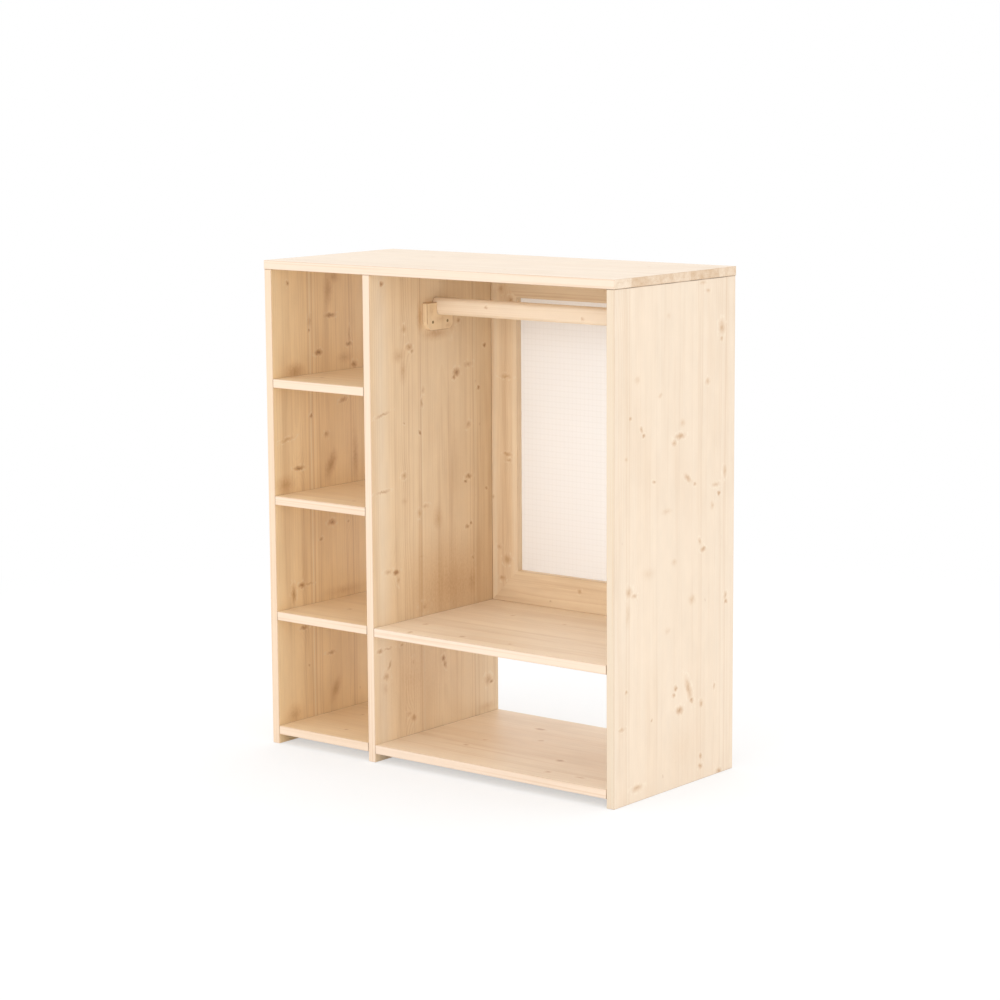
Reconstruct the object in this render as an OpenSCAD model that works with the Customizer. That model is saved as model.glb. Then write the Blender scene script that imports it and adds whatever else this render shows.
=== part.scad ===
// A child's dressing-up storage unit of edge-glued spruce board. It has a bay of four compartments
// on the left and a hanging space with a rail on the right, over an open compartment. A mitred frame
// at the back of the hanging space holds a safety mirror that looks to the rear.
// X runs to the right, Y to the back and Z up. The origin is on the floor, under the middle of the top.

/* [Overall] */
// Width over the top panel
unit_w = 880; // [800:10:1100]
// Depth over the top panel, front to back
unit_d = 400; // [340:5:500]
// Height from the floor to the upper face of the top panel
unit_h = 1000; // [900:10:1200]

/* [Boards] */
// Thickness of the sides, the divider, the shelves and the top
board_t = 18; // [16:0.5:22]
// Radius that the edges of the boards are eased to
edge_r = 1.5; // [0.5:0.25:3]
// Radius of the top panel's four corners in plan
top_corner_r = 3; // [2:0.5:12]
// How far the top panel stands past the sides at each end
top_over_end = 1.5; // [0:0.5:10]
// How far the top panel stands past the boards at the front and at the back
top_over_front = 1; // [0:0.5:10]

/* [Bays] */
// Clear width of the bay of four compartments
left_bay_w = 245; // [180:5:300]
// Gap between the floor and the bottom shelf of the left bay
left_toe_gap = 20; // [12:1:60]
// Gap between the floor and the bottom shelf of the right bay
right_toe_gap = 18; // [12:1:60]
// Clear height of the open compartment under the hanging space
open_bay_h = 222; // [150:2:280]

/* [Dowel joints] */
// Diameter of the dowels between the boards
dowel_d = 8; // [6:1:10]
// Length of the dowels between the boards
dowel_l = 30; // [26:1:40]
// How deep a dowel sits in the face of a board
dowel_face_depth = 11; // [8:0.5:13]
// Spare depth past the other end of a dowel, for glue
dowel_spare = 1; // [0.5:0.5:3]
// Distance of the outer dowels from the front and back of the boards
dowel_inset = 50; // [40:5:80]
// Step along the divider between the left bay's dowels and the right bay's
dowel_stagger = 20; // [14:1:30]
// Glue gap all round a dowel
dowel_gap = 0.1; // [0.05:0.05:0.2]

/* [Hanging rail] */
// Thickness of the rail, front to back
rail_t = 20; // [19:1:28]
// Height of the rail
rail_h = 35; // [30:1:45]
// Radius of the rail's four long edges
rail_r = 8.5; // [7.5:0.5:9]
// Middle of the rail behind the front of the boards
rail_setback = 203; // [150:1:240]
// Space between the rail and the top panel
rail_headroom = 57; // [50:1:90]
// Gap between each end of the rail and the board that it meets
rail_end_gap = 1; // [0.5:0.5:3]

/* [Rail brackets] */
// Thickness of a bracket
bracket_t = 12; // [9:1:20]
// Width of wood in front of the slot and behind it
bracket_horn_w = 30.5; // [26:0.5:36]
// Height of wood under the slot
bracket_base_h = 31; // [26:1:45]
// Depth of the open-topped slot that holds the rail
slot_depth = 25; // [20:0.5:28]
// Gap between the rail and each wall of the slot
slot_gap = 0.5; // [0.4:0.1:1.5]
// Radius of the slot's two bottom corners
slot_r = 7; // [3:0.5:7]
// Radius of the bracket's two bottom corners
bracket_foot_r = 20; // [10:1:26]
// Radius of the bracket's two top corners at each horn
bracket_top_r = 2; // [1:0.5:4]

/* [Bracket screws] */
// Distance between a bracket's two screws
bracket_screw_pitch = 46; // [34:1:50]
// Height of the screws above the bracket's lowest edge
bracket_screw_z = 17; // [13:0.5:20]
// Shank diameter of a bracket screw
bracket_screw_d = 3.5; // [3:0.5:4]
// Head diameter of a bracket screw
bracket_head_d = 6.5; // [6:0.5:8]
// How far a bracket screw bites into the board
bracket_screw_bite = 13; // [9:0.5:14]

/* [Mirror frame] */
// Face width of the frame's four mitred boards
frame_w = 68; // [60:1:90]
// Thickness of the frame
frame_t = 18; // [16:0.5:22]
// Gap between the frame and the boards beside it and above it
frame_gap = 0.5; // [0.3:0.1:1.5]
// Width of the rebate round the back of the frame's opening
rebate_w = 20; // [16:1:24]
// Diameter of the dowels in the mitres and between the frame and the boards
frame_dowel_d = 6; // [5:0.5:6]
// Length of the dowels in the mitres and between the frame and the boards
frame_dowel_l = 30; // [24:1:32]
// Distance of the outer dowels of each upright frame board from its ends
frame_dowel_inset = 110; // [80:5:160]
// Distance of a mitre's two dowels from its outer and inner corner, along the frame's edges
mitre_dowel_inset = 20; // [18:1:24]

/* [Mirror] */
// Thickness of the mirror sheet
mirror_t = 3; // [2.5:0.25:4]
// Thickness of the white safety film on the sheet's front face
film_t = 0.25; // [0.15:0.05:0.5]
// How far the mirror lies below the back of the frame
mirror_recess = 0.5; // [0.2:0.1:1]
// Gap round the mirror's edge in the rebate
mirror_gap = 1; // [0.5:0.25:2]
// Distance of the mirror's screws from its edge
mirror_screw_inset = 9; // [7:0.5:10]
// Shank diameter of a mirror screw
mirror_screw_d = 3; // [2.5:0.5:3.5]
// Head diameter of a mirror screw
mirror_head_d = 5.5; // [5:0.5:6]
// Distance of the outer mirror screws from the mirror's corners
mirror_screw_corner = 65; // [40:5:120]
// How far a mirror screw bites into the frame
mirror_screw_bite = 8.75; // [7:0.25:10]

/* [Hidden] */
$fn = 48;

spruce = [0.87, 0.73, 0.55];
spruce_pale = [0.93, 0.81, 0.65];
beech = [0.80, 0.62, 0.45];
steel = [0.45, 0.42, 0.38];
mirror_silver = [0.80, 0.84, 0.86];
film_white = [0.97, 0.95, 0.92];

past = 1;              // how far a cutter runs past the face that it starts from
screw_gap = 0.05;      // gap between a screw's shank and its hole
clear_hole = 0.5;      // extra diameter of the hole that a screw passes freely
dowel_tip = 1;         // chamfer on each end of a dowel

// Boards: their common depth, the height of the uprights and the four faces that the bays lie between
board_d = unit_d - 2 * top_over_front;
upright_h = unit_h - board_t;
front_y = -board_d / 2;
back_y = board_d / 2;
left_out = -unit_w / 2 + top_over_end;
right_out = unit_w / 2 - top_over_end;
left_in = left_out + board_t;
right_in = right_out - board_t;
divider_left = left_in + left_bay_w;
divider_right = divider_left + board_t;

// Undersides of the shelves: four equal compartments on the left, two levels on the right
left_levels = 4;
left_clear_h = (upright_h - left_toe_gap - left_levels * board_t) / left_levels;
function left_shelf_z(level) = left_toe_gap + level * (left_clear_h + board_t);
right_shelf_z = [right_toe_gap, right_toe_gap + board_t + open_bay_h];
hanging_floor_z = right_shelf_z[1] + board_t;

// Dowels: places front to back, and how far they reach into a board's end
dowel_reach = board_d / 2 - dowel_inset;
left_dowel_y = [-dowel_reach, 0, dowel_reach];
right_dowel_y = [-dowel_reach + dowel_stagger, dowel_stagger, dowel_reach - dowel_stagger];
dowel_end_depth = dowel_l - dowel_face_depth + dowel_spare;

// Rail and brackets: the rail rests on the bottom of the slots
rail_y = front_y + rail_setback;
rail_z = upright_h - rail_headroom - rail_h;
slot_w = rail_t + 2 * slot_gap;
bracket_w = slot_w + 2 * bracket_horn_w;
bracket_h = bracket_base_h + slot_depth;
bracket_z = rail_z - bracket_base_h;
bracket_screw_l = bracket_t + bracket_screw_bite;
bracket_screws_at = [for (side = [-1, 1])
    [rail_y + side * bracket_screw_pitch / 2, bracket_z + bracket_screw_z]];

// Mirror frame: laid out in its own plane, with x to the right, y up and z from its back to its front
frame_outer_w = right_in - divider_right - 2 * frame_gap;
frame_outer_h = upright_h - hanging_floor_z - frame_gap;
frame_mid_z = frame_t / 2;
frame_dowel_depth = frame_dowel_l - dowel_face_depth - frame_gap + dowel_spare;
frame_dowel_at = [frame_dowel_inset, frame_outer_h / 2, frame_outer_h - frame_dowel_inset];
mitre_dowel_at = [mitre_dowel_inset, frame_w - mitre_dowel_inset];
rebate_d = mirror_t + film_t + mirror_recess;
mirror_edge = frame_w - rebate_w + mirror_gap;
mirror_w = frame_outer_w - 2 * mirror_edge;
mirror_h = frame_outer_h - 2 * mirror_edge;
mirror_screw_l = mirror_t + film_t + mirror_screw_bite;
mirror_screw_x = [mirror_screw_inset, mirror_w - mirror_screw_inset];
mirror_screw_y = [mirror_screw_inset, mirror_h - mirror_screw_inset];
mirror_screws_at = concat(
    [for (x = mirror_screw_x, y = [mirror_screw_corner, mirror_h / 2, mirror_h - mirror_screw_corner])
        [mirror_edge + x, mirror_edge + y]],
    [for (y = mirror_screw_y, x = [mirror_screw_corner, mirror_w / 2, mirror_w - mirror_screw_corner])
        [mirror_edge + x, mirror_edge + y]]
);

// ---- Shared shapes ----

// A centred rectangle with rounded corners
module eased_rect(w, h, r) {
    square([w - 2 * r, h], center = true);
    square([w, h - 2 * r], center = true);
    for (x = [-1, 1], y = [-1, 1])
        translate([x * (w / 2 - r), y * (h / 2 - r)]) circle(r = r);
}

// Lays a flat outline, drawn with x to the back and y up, so that it is extruded to the right from x0
module along_x(x0, length) {
    translate([x0, 0, 0]) rotate([90, 0, 90]) linear_extrude(length) children();
}

// A round hole or pin from a point: side is 1 to the right or -1 to the left
module cylinder_x(point, side, d, length) {
    translate(point) rotate([0, side * 90, 0]) cylinder(d = d, h = length);
}

// A blind hole drilled into a face at point, to the right (side 1) or to the left (side -1)
module hole_x(point, side, d, depth) {
    cylinder_x(point - [side * past, 0, 0], side, d, depth + past);
}

// A dowel along +Z from the origin, with chamfered ends
module dowel(d, l) {
    translate([0, 0, dowel_tip]) cylinder(d = d, h = l - 2 * dowel_tip);
    cylinder(d1 = d - 2 * dowel_tip, d2 = d, h = dowel_tip);
    translate([0, 0, l - dowel_tip]) cylinder(d1 = d, d2 = d - 2 * dowel_tip, h = dowel_tip);
}

// A countersunk screw along +Z, with the top of its head at the origin
module screw(d, head_d, l) {
    head_h = (head_d - d) / 2;
    cylinder(d1 = head_d, d2 = d, h = head_h);
    translate([0, 0, head_h]) cylinder(d = d, h = l - head_h - d);
    translate([0, 0, l - d]) cylinder(d1 = d, d2 = d / 4, h = d);
}

// The seat of a countersunk head and the free hole under it, through a piece of thickness t
module screw_seat(d, head_d, t) {
    head_h = (head_d - d) / 2;
    cylinder(d1 = head_d, d2 = d, h = head_h);
    translate([0, 0, -past]) cylinder(d = head_d, h = past);
    translate([0, 0, -past]) cylinder(d = d + clear_hole, h = t + 2 * past);
}

// ---- Boards ----

// An upright eased on all its edges, so that a fine groove is left under the top panel
module upright(x0) {
    translate([x0 + board_t / 2, 0, 0]) intersection() {
        linear_extrude(upright_h) eased_rect(board_t, board_d, edge_r);
        along_x(-board_t / 2, board_t)
            translate([0, upright_h / 2]) eased_rect(board_d, upright_h, edge_r);
        translate([0, board_d / 2, upright_h / 2]) rotate([90, 0, 0])
            linear_extrude(board_d) eased_rect(board_t, upright_h, edge_r);
    }
}

module shelf_board(x0, length, z0) {
    along_x(x0, length) translate([0, z0 + board_t / 2]) eased_rect(board_d, board_t, edge_r);
}

// The holes for one shelf end's dowels in the face of an upright
module shelf_face_holes(face_x, side, z0, places) {
    for (y = places)
        hole_x([face_x, y, z0 + board_t / 2], side, dowel_d + 2 * dowel_gap, dowel_face_depth);
}

// The holes for the dowels in both ends of a shelf
module shelf_end_holes(x0, x1, z0, places) {
    for (y = places) {
        hole_x([x0, y, z0 + board_t / 2], 1, dowel_d + 2 * dowel_gap, dowel_end_depth);
        hole_x([x1, y, z0 + board_t / 2], -1, dowel_d + 2 * dowel_gap, dowel_end_depth);
    }
}

// The dowels of one shelf end: they bottom in the upright and reach into the shelf
module shelf_dowels(face_x, side, z0, places) {
    for (y = places)
        translate([face_x - side * dowel_face_depth, y, z0 + board_t / 2])
            rotate([0, side * 90, 0]) dowel(dowel_d, dowel_l);
}

module top_end_holes(x0) {
    for (y = left_dowel_y)
        translate([x0 + board_t / 2, y, upright_h - dowel_end_depth])
            cylinder(d = dowel_d + 2 * dowel_gap, h = dowel_end_depth + past);
}

module frame_face_holes(face_x, side) {
    for (z = frame_dowel_at)
        hole_x([face_x, back_y - frame_mid_z, hanging_floor_z + z], side,
            frame_dowel_d + 2 * dowel_gap, dowel_face_depth);
}

module bracket_pilot_holes(face_x, side) {
    for (at = bracket_screws_at)
        hole_x([face_x, at[0], at[1]], side, bracket_screw_d + 2 * screw_gap,
            bracket_screw_bite + dowel_spare);
}

module left_side() {
    color(spruce) difference() {
        upright(left_out);
        for (level = [0 : left_levels - 1])
            shelf_face_holes(left_in, -1, left_shelf_z(level), left_dowel_y);
        top_end_holes(left_out);
    }
}

module divider() {
    color(spruce) difference() {
        upright(divider_left);
        for (level = [0 : left_levels - 1])
            shelf_face_holes(divider_left, 1, left_shelf_z(level), left_dowel_y);
        for (z = right_shelf_z)
            shelf_face_holes(divider_right, -1, z, right_dowel_y);
        top_end_holes(divider_left);
        frame_face_holes(divider_right, -1);
        bracket_pilot_holes(divider_right, -1);
    }
}

module right_side() {
    color(spruce_pale) difference() {
        upright(right_in);
        for (z = right_shelf_z)
            shelf_face_holes(right_in, 1, z, right_dowel_y);
        top_end_holes(right_in);
        frame_face_holes(right_in, 1);
        bracket_pilot_holes(right_in, 1);
    }
}

module top_panel() {
    color(spruce_pale) difference() {
        intersection() {
            translate([0, 0, upright_h]) linear_extrude(board_t) eased_rect(unit_w, unit_d, top_corner_r);
            along_x(-unit_w / 2, unit_w)
                translate([0, upright_h + board_t / 2]) eased_rect(unit_d, board_t, edge_r);
            translate([0, unit_d / 2, upright_h + board_t / 2]) rotate([90, 0, 0])
                linear_extrude(unit_d) eased_rect(unit_w, board_t, edge_r);
        }
        for (x0 = [left_out, divider_left, right_in], y = left_dowel_y)
            translate([x0 + board_t / 2, y, upright_h - past])
                cylinder(d = dowel_d + 2 * dowel_gap, h = dowel_face_depth + past);
    }
}

module left_shelf(level) {
    color(spruce) difference() {
        shelf_board(left_in, left_bay_w, left_shelf_z(level));
        shelf_end_holes(left_in, divider_left, left_shelf_z(level), left_dowel_y);
    }
}

module right_level(level) {
    color(spruce) difference() {
        shelf_board(divider_right, right_in - divider_right, right_shelf_z[level]);
        shelf_end_holes(divider_right, right_in, right_shelf_z[level], right_dowel_y);
    }
}

module left_shelf_upper() { left_shelf(3); }
module left_shelf_middle() { left_shelf(2); }
module left_shelf_lower() { left_shelf(1); }
module left_shelf_bottom() { left_shelf(0); }
module right_shelf() { right_level(1); }
module right_shelf_bottom() { right_level(0); }

// ---- Dowels ----

module top_dowels() {
    color(beech) for (x0 = [left_out, divider_left, right_in], y = left_dowel_y)
        translate([x0 + board_t / 2, y, upright_h + dowel_face_depth - dowel_l]) dowel(dowel_d, dowel_l);
}

module left_shelf_dowels() {
    color(beech) for (level = [0 : left_levels - 1]) {
        shelf_dowels(left_in, 1, left_shelf_z(level), left_dowel_y);
        shelf_dowels(divider_left, -1, left_shelf_z(level), left_dowel_y);
    }
}

module right_shelf_dowels() {
    color(beech) for (z = right_shelf_z) {
        shelf_dowels(divider_right, 1, z, right_dowel_y);
        shelf_dowels(right_in, -1, z, right_dowel_y);
    }
}

// ---- Hanging rail and its brackets ----

module hanging_rail() {
    color(spruce_pale)
        along_x(divider_right + rail_end_gap, right_in - divider_right - 2 * rail_end_gap)
            translate([rail_y, rail_z + rail_h / 2]) eased_rect(rail_t, rail_h, rail_r);
}

// A bracket's outline, with the slot's middle at x = 0 and the lowest edge at y = 0
module bracket_outline() {
    foot_x = bracket_w / 2 - bracket_foot_r;
    horn_x = bracket_w / 2 - bracket_top_r;
    difference() {
        union() {
            translate([-foot_x, 0]) square([2 * foot_x, bracket_h]);
            translate([-bracket_w / 2, bracket_foot_r])
                square([bracket_w, bracket_h - bracket_foot_r - bracket_top_r]);
            translate([-horn_x, bracket_foot_r]) square([2 * horn_x, bracket_h - bracket_foot_r]);
            for (side = [-1, 1]) {
                translate([side * foot_x, bracket_foot_r]) circle(r = bracket_foot_r);
                translate([side * horn_x, bracket_h - bracket_top_r]) circle(r = bracket_top_r);
            }
        }
        translate([-slot_w / 2, bracket_base_h + slot_r]) square([slot_w, bracket_h]);
        translate([-slot_w / 2 + slot_r, bracket_base_h]) square([slot_w - 2 * slot_r, bracket_h]);
        for (side = [-1, 1])
            translate([side * (slot_w / 2 - slot_r), bracket_base_h + slot_r]) circle(r = slot_r);
    }
}

// A bracket against the upright's face at face_x, with its open face to side
module rail_bracket(face_x, side) {
    color(spruce) difference() {
        along_x(side > 0 ? face_x : face_x - bracket_t, bracket_t)
            translate([rail_y, bracket_z]) bracket_outline();
        for (at = bracket_screws_at)
            translate([face_x + side * bracket_t, at[0], at[1]]) rotate([0, -side * 90, 0])
                screw_seat(bracket_screw_d, bracket_head_d, bracket_t);
    }
}

module rail_bracket_left() { rail_bracket(divider_right, 1); }
module rail_bracket_right() { rail_bracket(right_in, -1); }

module bracket_screws() {
    color(steel) for (at = bracket_screws_at) {
        translate([divider_right + bracket_t, at[0], at[1]]) rotate([0, -90, 0])
            screw(bracket_screw_d, bracket_head_d, bracket_screw_l);
        translate([right_in - bracket_t, at[0], at[1]]) rotate([0, 90, 0])
            screw(bracket_screw_d, bracket_head_d, bracket_screw_l);
    }
}

// ---- Mirror frame ----

// Places what is drawn in the frame's plane at the back of the hanging space
module in_frame_plane() {
    translate([divider_right + frame_gap, back_y, hanging_floor_z]) rotate([90, 0, 0]) children();
}

// Section of a frame board: x from the outer edge to the inner, y from the back to the front
module frame_section() {
    difference() {
        translate([frame_w / 2, frame_t / 2]) eased_rect(frame_w, frame_t, edge_r);
        translate([frame_w - rebate_w, -past]) square([rebate_w + past, rebate_d + past]);
    }
}

// A frame board along +X with its outer edge on y = 0, mitred at both ends
module frame_board(length) {
    intersection() {
        rotate([90, 0, 90]) linear_extrude(length) frame_section();
        linear_extrude(frame_t)
            polygon([[0, 0], [length, 0], [length - frame_w, frame_w], [frame_w, frame_w]]);
    }
}

// Puts a child, drawn for the bottom left corner, at all four corners of the frame
module at_corners() {
    for (x = [0, 1], y = [0, 1])
        translate([x * frame_outer_w, y * frame_outer_h, 0]) mirror([x, 0, 0]) mirror([0, y, 0]) children();
}

// One mitre's pins square to the mitre line, from the rail's side to the stile's. The rail holds
// half of a dowel's length, and the stile the rest with the spare depth
module mitre_pins(d, spare) {
    for (at = mitre_dowel_at)
        translate([at, at, frame_mid_z]) rotate([0, 0, -45]) rotate([0, 90, 0])
            translate([0, 0, -frame_dowel_l / 2 - spare]) cylinder(d = d, h = frame_dowel_l + spare);
}

module frame_mitre_holes() { at_corners() mitre_pins(frame_dowel_d + 2 * dowel_gap, dowel_spare); }

module frame_screw_holes() {
    for (at = mirror_screws_at)
        translate([at[0], at[1], 0])
            cylinder(d = mirror_screw_d + 2 * screw_gap, h = mirror_recess + mirror_screw_l + dowel_spare);
}

module frame_piece() {
    color(spruce) in_frame_plane() difference() {
        children();
        frame_mitre_holes();
        frame_screw_holes();
        for (y = frame_dowel_at) {
            hole_x([0, y, frame_mid_z], 1, frame_dowel_d + 2 * dowel_gap, frame_dowel_depth);
            hole_x([frame_outer_w, y, frame_mid_z], -1, frame_dowel_d + 2 * dowel_gap, frame_dowel_depth);
        }
    }
}

module mirror_frame_bottom() { frame_piece() frame_board(frame_outer_w); }
module mirror_frame_top() {
    frame_piece() translate([0, frame_outer_h, 0]) mirror([0, 1, 0]) frame_board(frame_outer_w);
}
module mirror_frame_left() { frame_piece() mirror([1, -1, 0]) frame_board(frame_outer_h); }
module mirror_frame_right() {
    frame_piece() translate([frame_outer_w, 0, 0]) mirror([1, 0, 0]) mirror([1, -1, 0])
        frame_board(frame_outer_h);
}

module mitre_dowels() {
    color(beech) in_frame_plane() at_corners() for (at = mitre_dowel_at)
        translate([at, at, frame_mid_z]) rotate([0, 0, -45]) rotate([0, 90, 0])
            translate([0, 0, -frame_dowel_l / 2]) dowel(frame_dowel_d, frame_dowel_l);
}

module frame_dowels() {
    color(beech) for (z = frame_dowel_at) {
        translate([divider_right - dowel_face_depth, back_y - frame_mid_z, hanging_floor_z + z])
            rotate([0, 90, 0]) dowel(frame_dowel_d, frame_dowel_l);
        translate([right_in + dowel_face_depth, back_y - frame_mid_z, hanging_floor_z + z])
            rotate([0, -90, 0]) dowel(frame_dowel_d, frame_dowel_l);
    }
}

// ---- Mirror ----

module mirror_sheet() {
    color(mirror_silver) in_frame_plane() difference() {
        translate([mirror_edge, mirror_edge, mirror_recess]) cube([mirror_w, mirror_h, mirror_t]);
        for (at = mirror_screws_at)
            translate([at[0], at[1], mirror_recess]) screw_seat(mirror_screw_d, mirror_head_d, mirror_t);
    }
}

module mirror_safety_film() {
    color(film_white) in_frame_plane() difference() {
        translate([mirror_edge, mirror_edge, mirror_recess + mirror_t]) cube([mirror_w, mirror_h, film_t]);
        for (at = mirror_screws_at)
            translate([at[0], at[1], mirror_recess])
                cylinder(d = mirror_screw_d + clear_hole, h = mirror_t + film_t + past);
    }
}

module mirror_screws() {
    color(steel) in_frame_plane() for (at = mirror_screws_at)
        translate([at[0], at[1], mirror_recess]) screw(mirror_screw_d, mirror_head_d, mirror_screw_l);
}

left_side();
divider();
right_side();
top_panel();
left_shelf_upper();
left_shelf_middle();
left_shelf_lower();
left_shelf_bottom();
right_shelf();
right_shelf_bottom();
top_dowels();
left_shelf_dowels();
right_shelf_dowels();
hanging_rail();
rail_bracket_left();
rail_bracket_right();
bracket_screws();
mirror_frame_left();
mirror_frame_right();
mirror_frame_top();
mirror_frame_bottom();
mitre_dowels();
frame_dowels();
mirror_sheet();
mirror_safety_film();
mirror_screws();
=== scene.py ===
"""The looks of a child's dressing-up storage unit: edge-glued spruce boards with their staves, rings and
knots, a mirror with a meshed safety film, and cross-recess screws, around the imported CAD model."""

import math
import random

import bmesh
import bpy
from mathutils import Matrix, Vector


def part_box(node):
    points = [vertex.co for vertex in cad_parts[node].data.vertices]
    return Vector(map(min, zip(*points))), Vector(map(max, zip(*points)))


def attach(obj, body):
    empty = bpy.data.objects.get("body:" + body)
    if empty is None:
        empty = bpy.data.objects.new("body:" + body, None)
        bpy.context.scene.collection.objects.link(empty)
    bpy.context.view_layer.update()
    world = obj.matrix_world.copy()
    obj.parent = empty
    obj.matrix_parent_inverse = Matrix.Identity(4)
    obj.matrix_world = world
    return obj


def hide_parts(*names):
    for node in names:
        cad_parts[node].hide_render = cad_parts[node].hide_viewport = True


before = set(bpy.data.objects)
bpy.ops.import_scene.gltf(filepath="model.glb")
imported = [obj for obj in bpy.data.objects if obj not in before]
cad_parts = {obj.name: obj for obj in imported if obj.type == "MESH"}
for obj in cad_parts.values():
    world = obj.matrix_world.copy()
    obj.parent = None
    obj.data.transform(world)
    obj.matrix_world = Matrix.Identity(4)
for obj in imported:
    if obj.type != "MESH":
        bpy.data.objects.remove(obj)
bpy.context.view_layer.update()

MM = 0.001
ALONG_X, ALONG_Y, ALONG_Z = 0, 1, 2


def srgb(red, green, blue):
    """A linear colour from the 8-bit values that it shows on a screen."""
    linear = [((c / 255 + 0.055) / 1.055) ** 2.4 if c > 10 else c / 255 / 12.92 for c in (red, green, blue)]
    return (*linear, 1.0)


def mixed(one, other, share):
    """The colour that is share of the way from one to the other."""
    return tuple(a + (b - a) * share for a, b in zip(one, other))


# ---- Shader nodes ----


class Value:
    """A socket of a node tree. Python's operators add Math nodes to it, and node() adds any other node."""

    def __init__(self, tree, socket):
        self.tree = tree
        self.socket = socket

    def node(self, kind, inputs, output=0, stops=None, **settings):
        """Adds a shader node: its settings first, then a ramp's stops, then its sockets' values or links."""
        made = self.tree.nodes.new("ShaderNode" + kind)
        for name, setting in settings.items():
            setattr(made, name, setting)
        if stops:
            ramp = made.color_ramp
            ramp.interpolation = stops["interpolation"]
            while len(ramp.elements) < len(stops["at"]):
                ramp.elements.new(1.0)
            for element, (position, colour) in zip(ramp.elements, stops["at"]):
                element.position = position
                element.color = colour
        for name, value in inputs.items():
            if isinstance(value, Value):
                self.tree.links.new(value.socket, made.inputs[name])
            else:
                made.inputs[name].default_value = value
        return Value(self.tree, made.outputs[output])

    def maths(self, operation, *others):
        return self.node("Math", dict(enumerate((self, *others))), operation=operation)

    def __add__(self, other):
        return self.maths("ADD", other)

    __radd__ = __add__

    def __sub__(self, other):
        return self.maths("SUBTRACT", other)

    def __rsub__(self, other):
        return self.node("Math", {0: other, 1: self}, operation="SUBTRACT")

    def __mul__(self, other):
        return self.maths("MULTIPLY", other)

    __rmul__ = __mul__

    def __truediv__(self, other):
        return self.maths("DIVIDE", other)

    def __rtruediv__(self, other):
        return self.node("Math", {0: other, 1: self}, operation="DIVIDE")

    def __abs__(self):
        return self.maths("ABSOLUTE")

    def least(self, other):
        return self.maths("MINIMUM", other)

    def most(self, other):
        return self.maths("MAXIMUM", other)

    def smooth(self, low, high, start=0.0, end=1.0):
        """Runs smoothly from start at low to end at high."""
        values = {"Value": self, "From Min": low, "From Max": high, "To Min": start, "To Max": end}
        return self.node("MapRange", values, interpolation_type="SMOOTHSTEP")

    def scaled(self, factors, shift=(0, 0, 0)):
        """A vector times factors, plus shift."""
        return self.node("VectorMath", {0: self, 1: factors, 2: shift}, operation="MULTIPLY_ADD")

    def length(self):
        return self.node("VectorMath", {0: self}, output=1, operation="LENGTH")

    def parts(self):
        """The three numbers of a vector or colour."""
        split = self.node("SeparateXYZ", {"Vector": self})
        return [Value(self.tree, s) for s in split.socket.node.outputs]

    def blend(self, low, high):
        """The colour low where this mask is 0 and high where it is 1."""
        return self.node("Mix", {0: self, 6: low, 7: high}, output=2, data_type="RGBA")

    def tint(self, colour, other, layer, strength=1.0):
        """Turns colour towards other through a layer: (the value where it starts, the value where it is
        whole, and other's share there)."""
        low, high, share = layer
        return (self.smooth(low, high) * (share * strength)).blend(colour, other)

    def noise(self, detail=2.0, roughness=0.5, colour=False):
        """Noise at a vector, from 0 to 1."""
        values = {"Vector": self, "Scale": 1.0, "Detail": detail, "Roughness": roughness}
        return self.node("TexNoise", values, output=1 if colour else 0)

    def ramp(self, stops, interpolation="LINEAR"):
        """A ColorRamp of (position, colour or grey) stops."""
        at = [(p, c if isinstance(c, tuple) else (c, c, c, 1)) for p, c in stops]
        return self.node("ValToRGB", {"Fac": self}, stops={"interpolation": interpolation, "at": at})


SOCKET_NAMES = {"specular": "Specular IOR Level"}


class Finish:
    """A material with one Principled shader. at is the object's own place, in metres."""

    def __init__(self, name, **constants):
        self.material = bpy.data.materials.new(name)
        self.material.use_nodes = True
        self.tree = self.material.node_tree
        self.shader = self.tree.nodes["Principled BSDF"]
        start = self.tree.nodes.new("ShaderNodeTexCoord")
        self.at = Value(self.tree, start.outputs["Object"])
        self.set(**constants)

    def set(self, **values):
        """Sets or links the shader's sockets: base_color is Base Color."""
        for name, value in values.items():
            socket = self.shader.inputs[SOCKET_NAMES.get(name, name.replace("_", " ").title())]
            if isinstance(value, Value):
                self.tree.links.new(value.socket, socket)
            else:
                socket.default_value = value

    def bump(self, height, depth, strength):
        """Raises the surface by up to depth metres where height is 1."""
        values = {"Strength": strength, "Distance": depth, "Height": height}
        self.set(normal=self.at.node("Bump", values))


def combined(x, y, z):
    """A vector of three values, at least the first of them a socket."""
    return x.node("CombineXYZ", {0: x, 1: y, 2: z})


def from_middle(at, node):
    """The place in millimetres from the middle of a node's box."""
    low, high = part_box(node)
    return at.scaled((1 / MM,) * 3, tuple(-(low + high) / 2 / MM))


def paint(piece, material):
    """Makes material the piece's only one."""
    piece.data.materials.clear()
    piece.data.materials.append(material)
    for face in piece.data.polygons:
        face.material_index = 0


# ---- Spruce: its values ----

SAPWOOD = srgb(237, 218, 195)
HEARTWOOD = srgb(250, 221, 176)
# A paler wood, given to the right bay's shelves partly to stand in for the brighter light and sheen on their
# tops, painted light
PALE_WOOD_AND_LIGHT = srgb(252, 232, 206)
LATEWOOD = srgb(218, 182, 140)
STREAK = srgb(203, 163, 118)
PALE_ARC = srgb(244, 230, 208)
# The long edges' colour, set darker than the faces partly to offset the light on the front edges, painted
# shade; the right side's one is greyer and darker, set the same way
EDGE_WOOD_AND_SHADE = srgb(231, 208, 187)
DULL_EDGE_AND_SHADE = srgb(216, 198, 174)
# The eased edges' dark colour, partly their own darker wood and partly painted shade, and the painted shade
# of the thin gap along a joint
ARRIS = srgb(176, 136, 96)
JOINT_SHADE = srgb(100, 74, 48)
HALO = srgb(197, 152, 100)
KNOT_BROWN = srgb(168, 115, 66)
KNOT_DARK = srgb(118, 74, 40)
END_GRAIN = srgb(204, 170, 132)
GLUE = srgb(192, 152, 110)

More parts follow.
